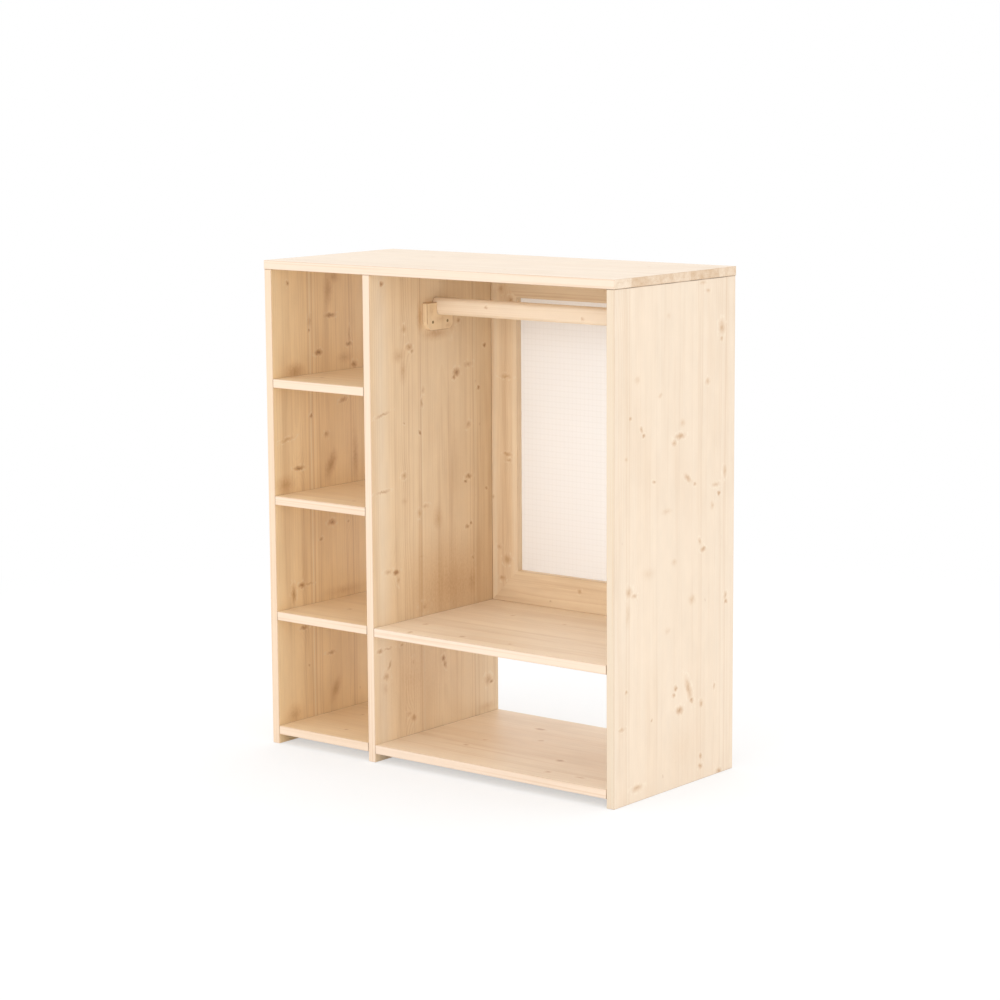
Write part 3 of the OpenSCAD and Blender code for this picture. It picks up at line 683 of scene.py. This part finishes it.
def dress_boards():
    """Gives every board of the carcass and of the mirror's frame its own spruce."""
    upright = {"along": ALONG_Z, "across": ALONG_Y, "joints": (0, 0.85)}
    shelf = {"along": ALONG_X, "across": ALONG_Y, "joints": (0.6, 0.6)}
    left_shelf = {**shelf, "warmth": 0.7}
    right_shelf = {**shelf, "warmth": 0.3}
    # The brackets' eased edges are darkened further, partly as painted contact shadow round their rims
    bracket = {"along": ALONG_Z, "across": ALONG_Y, "staves": (82,), "tones": (0.3,), "spacing": 2.8,
               "warmth": 0.8, "planed": 0, "worn_and_shaded": 0.75, "knots": BRACKET_MARKS}
    stile = {"along": ALONG_Z, "across": ALONG_X, "staves": (68,), "planed": 0}
    cross_strip = {"along": ALONG_X, "across": ALONG_Z, "staves": (68,), "planed": 0, "pith_depth": 20,
                   "spacing": 4.5, "contrast": 1.5}
    boards = {
        # The left side is warmer and more strongly grained, partly to stand in for the shade of the bays its
        # inner face looks into, painted shade; its outer face is turned paler
        "left_side": {
            **upright, "staves": (52, 64, 93, 70, 72, 47), "tones": (0.3, 0.5, 0.6, 0.65, 0.45, 0.6),
            "seed": 3, "warmth": 1.0, "contrast": 1.3, "edge": mixed(EDGE_WOOD_AND_SHADE, STREAK, 0.15), "unshaded_face": -1,
            "lines": LEFT_SIDE_LINES, "knots": from_height(UPRIGHT_MIDDLE, LEFT_SIDE_KNOTS_AND_SHADE)},
        "divider": {
            **upright, "staves": (69, 85, 87, 77, 80), "tones": (0.5, 0.4, 0.3, 0.3, 0.1), "seed": 5,
            "warmth": 0.6, "contrast": 1.2, "lines": DIVIDER_LINES,
            "knots": from_height(UPRIGHT_MIDDLE, DIVIDER_KNOTS_AND_SHADE + DIVIDER_STAINS_AND_SHADE)},
        # The right side is paler and faintly grained, partly to stand in for the full light on its outer
        # face, painted light
        "right_side": {
            **upright, "staves": (46, 87, 78, 69, 87, 31), "tones": (0.5, 0.8, 0.5, 0.65, 0.5, 0.5),
            "seed": 8, "warmth": 0.0, "contrast": 0.6, "edge": DULL_EDGE_AND_SHADE, "lines": RIGHT_SIDE_LINES,
            "knots": from_height(UPRIGHT_MIDDLE, RIGHT_SIDE_KNOTS, 0.85)},
        "top_panel": {
            "along": ALONG_X, "across": ALONG_Y, "staves": (52, 48, 87, 58, 94, 61),
            "tones": (0.6, 0.55, 0.6, 0.7, 0.6, 0.55), "ends": (0.1, 0.65, 0.45, 0.3, 0.6, 0.35), "seed": 11,
            "warmth": 0.0, "contrast": 0.6, "knots": TOP_KNOTS},
        "left_shelf_upper": {
            **left_shelf, "staves": (80, 60, 95, 70, 93), "seed": 13,
            "knots": [(-60, -120, 6, 6, 0.6), (40, -30, 5, 5, 0.5), (80, 90, 6, 5, 0.5)]},
        "left_shelf_middle": {
            **left_shelf, "staves": (60, 90, 70, 98, 80), "seed": 17,
            "knots": [(50, -150, 6, 5, 0.6), (-70, 10, 5, 5, 0.5)]},
        "left_shelf_lower": {
            **left_shelf, "staves": (95, 62, 84, 90, 67), "seed": 19,
            "knots": [(-20, -90, 6, 6, 0.6), (70, 60, 5, 5, 0.5)]},
        "left_shelf_bottom": {
            **left_shelf, "staves": (72, 88, 60, 92, 86), "seed": 23,
            "knots": [(10, -140, 6, 6, 0.6), (-50, -20, 6, 5, 0.5)]},
        # The right bay's shelves are made paler partly as painted light and sheen on their tops
        "right_shelf": {
            **right_shelf, "staves": (64, 92, 78, 90, 74), "seed": 29, "pale": 1.0, "contrast": 0.9,
            "knots": RIGHT_SHELF_KNOTS},
        "right_shelf_bottom": {
            **right_shelf, "staves": (88, 70, 94, 66, 80), "seed": 31, "pale": 0.65, "contrast": 1.1,
            "knots": RIGHT_BOTTOM_KNOTS},
        "hanging_rail": {
            "along": ALONG_X, "across": ALONG_Z, "staves": (35,), "tones": (0.9,), "seed": 37,
            "pith_depth": 20, "spacing": 2.6, "warmth": 0.15, "contrast": 1.3, "planed": 0,
            "knots": [(-150, 4, 5, 4, 0.6), (90, -6, 5, 4, 0.45)]},
        "rail_bracket_left": {**bracket, "seed": 41},
        "rail_bracket_right": {**bracket, "seed": 43},
        "mirror_frame_left": {
            **stile, "tones": (0.7,), "seed": 47, "contrast": 1.2, "lines": STILE_LINES,
            "knots": from_height(STILE_MIDDLE, STILE_KNOTS)},
        "mirror_frame_right": {
            **stile, "seed": 53, "knots": [(-180, 5, 6, 5, 0.6), (120, -12, 5, 5, 0.5)]},
        "mirror_frame_top": {
            **cross_strip, "seed": 59, "knots": [(-30, 5, 8, 5, 0.6), (140, -12, 5, 5, 0.5)]},
        "mirror_frame_bottom": {
            **cross_strip, "seed": 61,
            "knots": [(-60, 8, 6, 5, 0.6), (150, -10, 5, 5, 0.45), (0, 0, 200, 50, 0.17)]},
    }
    for node, wood in boards.items():
        paint(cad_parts[node], spruce(node, **wood))


# ---- Dowels, film, mirror and screws: their materials ----

BEECH = srgb(222, 184, 146)
BEECH_FLECK = srgb(196, 150, 110)
BEECH_PORE = srgb(150, 104, 74)
FLECK_BAND = (0.35, 0.7)
PORE_LAYER = (0.6, 0.75, 0.5)

FILM_WHITE = srgb(255, 255, 255)
FILM_THREAD = srgb(232, 230, 226)
FILM_HAZE = srgb(248, 247, 245)
HAZE_LAYER = (0.4, 0.7, 0.1)
THREAD_SHARE = 0.28
THREAD_PITCH = (10.4, 11.5)
THREAD_WIDTH = 0.16
FILM_BORDER = 26
FILM_FADE = 1

SHEET_CLEAR = srgb(222, 232, 232)
SHEET_SILVER = srgb(236, 240, 240)
SILVER_BAND = (0.3 * MM, 0.1 * MM)
SMEAR_BAND = (0.5, 0.8)

ZINC = srgb(176, 152, 112)
ZINC_SPANGLE = srgb(150, 128, 92)

# Noise: its cells per millimetre in the dowels and the film, and per metre in the mirror and the screws
BEECH_FLECKS = (0.5, 0.5, 0.5)
BEECH_PORES = (1.9, 1.9, 1.9)
FILM_GRAIN = (0.9, 0.9, 0.9)
FILM_CLOUDS = (0.003, 0.003, 0.003)
SHEET_SMEARS = (9, 9, 3)
SHEET_DUST = (300, 300, 300)
ZINC_SCUFFS = (2500, 2500, 2500)
ZINC_SPANGLES = (700, 700, 700)

# Roughness, and what pores, threads, silver, smears and scuffs add to it
BEECH_ROUGHNESS = 0.55
PORE_ROUGHNESS = 0.2
FILM_ROUGHNESS = 0.42
THREAD_ROUGHNESS = 0.1
SHEET_ROUGHNESS = 0.16
SILVER_ROUGHNESS = -0.13
SMEAR_ROUGHNESS = 0.03
ZINC_ROUGHNESS = 0.32
SCUFF_ROUGHNESS = 0.2

PORE_RELIEF = 0.1 * MM
THREAD_RELIEF = 0.2 * MM
DUST_RELIEF = 0.01 * MM
SCUFF_RELIEF = 0.03 * MM


def beech():
    """Steamed beech with its short dark flecks."""
    finish = Finish("dowel_beech", specular=0.3)
    place = finish.at.scaled((1 / MM,) * 3)
    fleck = place.scaled(BEECH_FLECKS).noise(detail=3, roughness=0.65)
    pore = place.scaled(BEECH_PORES).noise(detail=2)
    colour = pore.tint(fleck.smooth(*FLECK_BAND).blend(BEECH, BEECH_FLECK), BEECH_PORE, PORE_LAYER)
    finish.set(base_color=colour, roughness=BEECH_ROUGHNESS + (pore - 0.5) * PORE_ROUGHNESS)
    finish.bump(pore, PORE_RELIEF, 0.5)
    return finish.material


def safety_film():
    """White film with a mesh of threads moulded into it, up to a plain border."""
    finish = Finish("safety_film", specular=0.6, coat_weight=1.0, coat_roughness=0.25)
    low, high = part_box("mirror_safety_film")
    place = from_middle(finish.at, "mirror_safety_film")
    x, y, z = place.parts()
    upright, level = [abs((way / pitch).maths("FRACT") - 0.5).smooth(0.0, THREAD_WIDTH, 1, 0)
                      for way, pitch in zip((x, z), THREAD_PITCH)]
    half_x, half_z = [(high - low)[axis] / MM / 2 - FILM_BORDER for axis in (ALONG_X, ALONG_Z)]
    inside_x = abs(x).smooth(half_x, half_x + FILM_FADE, 1, 0)
    inside_z = abs(z).smooth(half_z, half_z + FILM_FADE, 1, 0)
    thread = (upright + level) * 0.5 * inside_x * inside_z
    grain = place.scaled(FILM_GRAIN).noise(detail=2)
    haze = place.scaled(FILM_CLOUDS).noise(detail=2)
    colour = haze.tint((thread * THREAD_SHARE).blend(FILM_WHITE, FILM_THREAD), FILM_HAZE, HAZE_LAYER)
    rough = FILM_ROUGHNESS + (grain - 0.5 + thread) * THREAD_ROUGHNESS
    finish.set(base_color=colour, roughness=rough)
    finish.bump(thread + grain * 0.1, THREAD_RELIEF, 0.5)
    return finish.material


def silvered_sheet():
    """Clear acrylic sheet, silvered where it shows at the back, with a few wiped smears."""
    finish = Finish("mirror_acrylic", specular=0.5)
    low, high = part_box("mirror_sheet")
    x, y, z = finish.at.parts()
    silver = y.smooth(high.y - SILVER_BAND[0], high.y - SILVER_BAND[1])
    smear = finish.at.scaled(SHEET_SMEARS).noise(detail=4, roughness=0.6)
    dust = finish.at.scaled(SHEET_DUST).noise(detail=1)
    rough = SHEET_ROUGHNESS + silver * SILVER_ROUGHNESS + smear.smooth(*SMEAR_BAND) * SMEAR_ROUGHNESS
    finish.set(base_color=silver.blend(SHEET_CLEAR, SHEET_SILVER), metallic=silver, roughness=rough)
    finish.bump(dust, DUST_RELIEF, 0.2)
    return finish.material


def screw_steel():
    """Steel with a yellowed zinc plating, scuffed a little."""
    finish = Finish("screw_steel", specular=0.5)
    scuff = finish.at.scaled(ZINC_SCUFFS).noise(detail=3, roughness=0.6)
    spangle = finish.at.scaled(ZINC_SPANGLES).noise(detail=1)
    rough = ZINC_ROUGHNESS + (scuff - 0.5) * SCUFF_ROUGHNESS
    finish.set(base_color=spangle.blend(ZINC, ZINC_SPANGLE), metallic=1.0, roughness=rough)
    finish.bump(scuff, SCUFF_RELIEF, 0.4)
    return finish.material


# ---- Screws ----

# Shank diameter, head diameter and length
BRACKET_SCREW = (3.5 * MM, 6.5 * MM, 25 * MM)
MIRROR_SCREW = (3 * MM, 5.5 * MM, 12 * MM)

# Places: up from a bracket's foot and to each side of its middle, and in from the sheet's edge and corner
BRACKET_SCREW_RISE = 17 * MM
BRACKET_SCREW_STEP = 23 * MM
MIRROR_SCREW_INSET = 9 * MM
MIRROR_SCREW_CORNER = 65 * MM

# Shares of a screw's length, from its head, where the plain shank ends, the thin core starts and the
# thread starts
SHANK_END = 0.3
CORE_START = 0.34
THREAD_START = 0.36

# Shares: the core and the thread's pitch of the shank's diameter, and the eased rim of the head's
CORE_SHARE = 0.7
PITCH_SHARE = 0.4
EASE_SHARE = 0.03

# The recess: shares of the head's diameter for its arms' length and width, for how far it goes down and
# starts above the head, and the share of their length that the arms narrow to
WING_LENGTH = 0.6
WING_WIDTH = 0.15
WING_DEPTH = 0.42
WING_ABOVE = 0.05
WING_NARROW = 0.25

HEAD_STEPS = 32
THREAD_STEPS = 14


def revolved(profile, steps):
    """A closed bmesh turned from a profile of (radius, height) points that starts and ends on the axis."""
    bm = bmesh.new()
    points = [bm.verts.new((r, 0, z)) for r, z in profile]
    edges = [bm.edges.new(pair) for pair in zip(points, points[1:])]
    bmesh.ops.spin(bm, geom=points + edges, cent=(0, 0, 0), axis=(0, 0, 1), angle=2 * math.pi, steps=steps,
                   use_merge=True)
    bmesh.ops.remove_doubles(bm, verts=bm.verts, dist=1e-7)
    bmesh.ops.recalc_face_normals(bm, faces=bm.faces)
    return bm


def helix(core, crest, pitch, top, turns):
    """A screw thread: a small triangle carried round and down from top."""
    bm = bmesh.new()
    points = ((core, 0, top), (crest, 0, top - pitch * 0.25), (core, 0, top - pitch * 0.5))
    face = bm.faces.new([bm.verts.new(point) for point in points])
    bmesh.ops.spin(bm, geom=[face], cent=(0, 0, 0), axis=(0, 0, 1), angle=2 * math.pi * turns,
                   steps=THREAD_STEPS * turns, dvec=(0, 0, -pitch / THREAD_STEPS))
    bmesh.ops.recalc_face_normals(bm, faces=bm.faces)
    return bm


def recess_wing(head_d):
    """One arm pair of the cross recess: a wedge that narrows downwards."""
    bm = bmesh.new()
    bmesh.ops.create_cube(bm, size=1.0)
    for v in bm.verts:
        upper = v.co.z > 0
        narrow = 1.0 if upper else WING_NARROW
        x = v.co.x * WING_LENGTH * head_d * narrow
        y = v.co.y * WING_WIDTH * head_d * (0.6 + 0.4 * narrow)
        v.co = Vector((x, y, WING_ABOVE * head_d if upper else -WING_DEPTH * head_d))
    return bm


def as_object(bm, name):
    """Turns a bmesh into a linked object, and frees it."""
    mesh = bpy.data.meshes.new(name)
    bm.to_mesh(mesh)
    bm.free()
    made = bpy.data.objects.new(name, mesh)
    bpy.context.scene.collection.objects.link(made)
    return made


def screw_mesh(shank_d, head_d, length):
    """A countersunk cross-recess screw with the top of its head at the origin and its point down -Z."""
    head_r = head_d / 2
    head_h = (head_d - shank_d) / 2
    crest = shank_d / 2
    core = crest * CORE_SHARE
    tip = shank_d
    ease = EASE_SHARE * head_d
    profile = [(0, 0), (head_r - 2 * ease, 0), (head_r - ease, -0.3 * ease), (head_r - 0.3 * ease, -ease),
               (head_r - ease, -2 * ease), (crest, -head_h), (crest * 0.98, -length * SHANK_END),
               (core, -length * CORE_START), (core, -length + tip), (core * 0.45, -length + 0.4 * tip),
               (0, -length)]
    body = as_object(revolved(profile, HEAD_STEPS), "screw_blank")
    cutters = []
    for turn in (0, math.pi / 2):
        wing = recess_wing(head_d)
        bmesh.ops.rotate(wing, verts=wing.verts, cent=(0, 0, 0), matrix=Matrix.Rotation(turn, 3, "Z"))
        cutters.append(as_object(wing, "recess_cutter"))
        cut = body.modifiers.new("recess", "BOOLEAN")
        cut.operation = "DIFFERENCE"
        cut.solver = "EXACT"
        cut.object = cutters[-1]
    bm = bmesh.new()
    bm.from_mesh(body.evaluated_get(bpy.context.evaluated_depsgraph_get()).to_mesh())
    for used in (body, *cutters):
        bpy.data.objects.remove(used)
    pitch = PITCH_SHARE * shank_d
    turns = int((length * (1 - THREAD_START) - tip) / pitch)
    thread = helix(core * 0.98, crest, pitch, -length * THREAD_START, turns)
    extra = bpy.data.meshes.new("thread")
    thread.to_mesh(extra)
    thread.free()
    bm.from_mesh(extra)
    bpy.data.meshes.remove(extra)
    mesh = bpy.data.meshes.new("screw")
    bm.to_mesh(mesh)
    bm.free()
    return mesh


def screw_row(name, node, screw, places, material, seed):
    """One piece of screws in place of a CAD node, each at (point, outward direction) and turned by chance."""
    dice = random.Random(seed)
    bm = bmesh.new()
    for point, outward in places:
        first = len(bm.verts)
        bm.from_mesh(screw)
        bm.verts.ensure_lookup_table()
        turn = Matrix.Rotation(dice.uniform(0, math.pi / 2), 4, "Z")
        stand = Vector(outward).to_track_quat("Z", "Y").to_matrix().to_4x4()
        bmesh.ops.transform(bm, matrix=Matrix.Translation(point) @ stand @ turn, verts=bm.verts[first:])
    made = as_object(bm, name)
    paint(made, material)
    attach(made, "carcass")
    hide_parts(node)


def bracket_screws(material):
    """Two screws through each rail bracket into the upright behind it."""
    screw = screw_mesh(*BRACKET_SCREW)
    places = []
    for node, outward in (("rail_bracket_left", 1), ("rail_bracket_right", -1)):
        low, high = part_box(node)
        face = high.x if outward > 0 else low.x
        middle = (low.y + high.y) / 2
        for y in (middle - BRACKET_SCREW_STEP, middle + BRACKET_SCREW_STEP):
            places.append((Vector((face, y, low.z + BRACKET_SCREW_RISE)), (outward, 0, 0)))
    screw_row("bracket_screw_set", "bracket_screws", screw, places, material, seed=5)


def mirror_screws(material):
    """Twelve screws through the mirror sheet's edge into the frame, driven from the back."""
    screw = screw_mesh(*MIRROR_SCREW)
    low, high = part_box("mirror_sheet")
    inset, corner = MIRROR_SCREW_INSET, MIRROR_SCREW_CORNER
    xs = (low.x + corner, (low.x + high.x) / 2, high.x - corner)
    zs = (low.z + corner, (low.z + high.z) / 2, high.z - corner)
    spots = [(x, z) for x in (low.x + inset, high.x - inset) for z in zs]
    spots += [(x, z) for x in xs for z in (low.z + inset, high.z - inset)]
    places = [(Vector((x, high.y, z)), (0, 1, 0)) for x, z in spots]
    screw_row("mirror_screw_set", "mirror_screws", screw, places, material, seed=9)


# ---- Surfaces of the CAD nodes ----

CREASE = math.radians(35)


def soften_edges(piece):
    """Shades a CAD node's eased edges as smooth curves and keeps its flat faces flat."""
    for face in piece.data.polygons:
        face.use_smooth = True
    weld = piece.modifiers.new("join", "WELD")
    weld.merge_threshold = 1e-6
    split = piece.modifiers.new("creases", "EDGE_SPLIT")
    split.split_angle = CREASE
    even = piece.modifiers.new("flat_faces", "WEIGHTED_NORMAL")
    even.mode = "FACE_AREA"
    even.weight = 100


# ---- Studio ----

# The photograph's camera: its place in metres, its angles in radians and its lens in millimetres
CAMERA_PLACE = (3.50286, -4.37221, 1.41581)
CAMERA_YAW = 0.6742
CAMERA_PITCH = 0.1577
CAMERA_ROLL = -0.0063
CAMERA_LENS = 101.82

# Each light's place and size in metres, and its power in watts
SOFT_BOXES = {
    "front": ((0, -4.2, 1.2), 3.0, 38),
    "side": ((4.3, -1.9, 1.4), 3.0, 10),
    "overhead": ((0.3, 0.2, 3.4), 2.4, 6),
}
LIGHTS_AIM = (0, 0, 0.5)
WORLD_LEVEL = 1.12

WHITE = (1, 1, 1, 1)
FLOOR_GREY = (0.94, 0.94, 0.94, 1)
FLOOR_RADIUS = 14
FLOOR_DROP = 0.1 * MM

# How far from the unit's middle the floor starts to turn plain white and is so, and the white's least share
SHADOW_REACH = (0.9, 2.4)
LEAST_WHITE = 0.5


def photo_camera():
    """The camera of the photograph, from the lower front right."""
    yaw, pitch, roll = CAMERA_YAW, CAMERA_PITCH, CAMERA_ROLL
    forward = Vector((-math.sin(yaw) * math.cos(pitch), math.cos(yaw) * math.cos(pitch), -math.sin(pitch)))
    level = Vector((math.cos(yaw), math.sin(yaw), 0))
    rise = level.cross(forward)
    right = level * math.cos(roll) + rise * math.sin(roll)
    up = rise * math.cos(roll) - level * math.sin(roll)
    data = bpy.data.cameras.new("photo_camera")
    data.lens = CAMERA_LENS
    camera = bpy.data.objects.new("photo_camera", data)
    turned = Matrix((right, up, -forward)).transposed().to_4x4()
    camera.matrix_world = Matrix.Translation(CAMERA_PLACE) @ turned
    bpy.context.scene.collection.objects.link(camera)
    bpy.context.scene.camera = camera


def soft_box(name, place, size, watts):
    """A square area light at place that faces the unit."""
    data = bpy.data.lights.new(name, "AREA")
    data.shape = "SQUARE"
    data.size = size
    data.energy = watts
    light = bpy.data.objects.new(name, data)
    light.location = place
    light.rotation_euler = (Vector(LIGHTS_AIM) - Vector(place)).to_track_quat("-Z", "Y").to_euler()
    bpy.context.scene.collection.objects.link(light)


def seen_mask(tree):
    """1 for rays from the camera, a reflection or a clear piece, which see the background."""
    path = tree.nodes.new("ShaderNodeLightPath")
    rays = [Value(tree, path.outputs[n]) for n in ("Is Camera Ray", "Is Glossy Ray", "Is Transmission Ray")]
    return rays[0].most(rays[1]).most(rays[2])


def empty_tree(owner):
    """The node tree of a world or material, emptied."""
    owner.use_nodes = True
    owner.node_tree.nodes.clear()
    return owner.node_tree


def set_surface(tree, kind, share, low, high):
    """Ends the tree of a World or Material with two shaders: low where share is 0, and high where it is 1."""
    both = share.node("MixShader", {0: share, 1: low, 2: high})
    out = tree.nodes.new("ShaderNodeOutput" + kind)
    tree.links.new(both.socket, out.inputs["Surface"])


def white_world():
    """An even white light, a little stronger than the plain white that the camera and reflections see."""
    world = bpy.data.worlds.new("studio")
    bpy.context.scene.world = world
    tree = empty_tree(world)
    seen = seen_mask(tree)
    lit = seen.node("Background", {"Color": WHITE, "Strength": WORLD_LEVEL})
    white = seen.node("Background", {"Color": WHITE, "Strength": 1.0})
    set_surface(tree, "World", seen, lit, white)


def pale_floor():
    """A matt white floor that keeps a light shadow near the unit and turns plain white further off."""
    bm = bmesh.new()
    bmesh.ops.create_circle(bm, cap_ends=True, segments=96, radius=FLOOR_RADIUS)
    bmesh.ops.translate(bm, verts=bm.verts, vec=(0, 0, -FLOOR_DROP))
    floor = as_object(bm, "floor")
    material = bpy.data.materials.new("floor_white")
    tree = empty_tree(material)
    start = tree.nodes.new("ShaderNodeTexCoord")
    distance = Value(tree, start.outputs["Object"]).length()
    seen = seen_mask(tree)
    matt = seen.node("BsdfDiffuse", {"Color": FLOOR_GREY})
    white = seen.node("Emission", {"Color": WHITE, "Strength": 1.0})
    share = distance.smooth(*SHADOW_REACH, LEAST_WHITE, 1.0) * seen
    set_surface(tree, "Material", share, matt, white)
    paint(floor, material)


def studio():
    """Camera, lights, floor and background."""
    photo_camera()
    white_world()
    pale_floor()
    for name, (place, size, watts) in SOFT_BOXES.items():
        soft_box(name, place, size, watts)
    bpy.context.scene.view_settings.view_transform = "Standard"


studio()
dress_boards()
dowel_wood = beech()
steel = screw_steel()
for dowels in ("top_dowels", "left_shelf_dowels", "right_shelf_dowels", "mitre_dowels", "frame_dowels"):
    paint(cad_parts[dowels], dowel_wood)
paint(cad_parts["mirror_safety_film"], safety_film())
paint(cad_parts["mirror_sheet"], silvered_sheet())
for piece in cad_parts.values():
    soften_edges(piece)
bracket_screws(steel)
mirror_screws(steel)
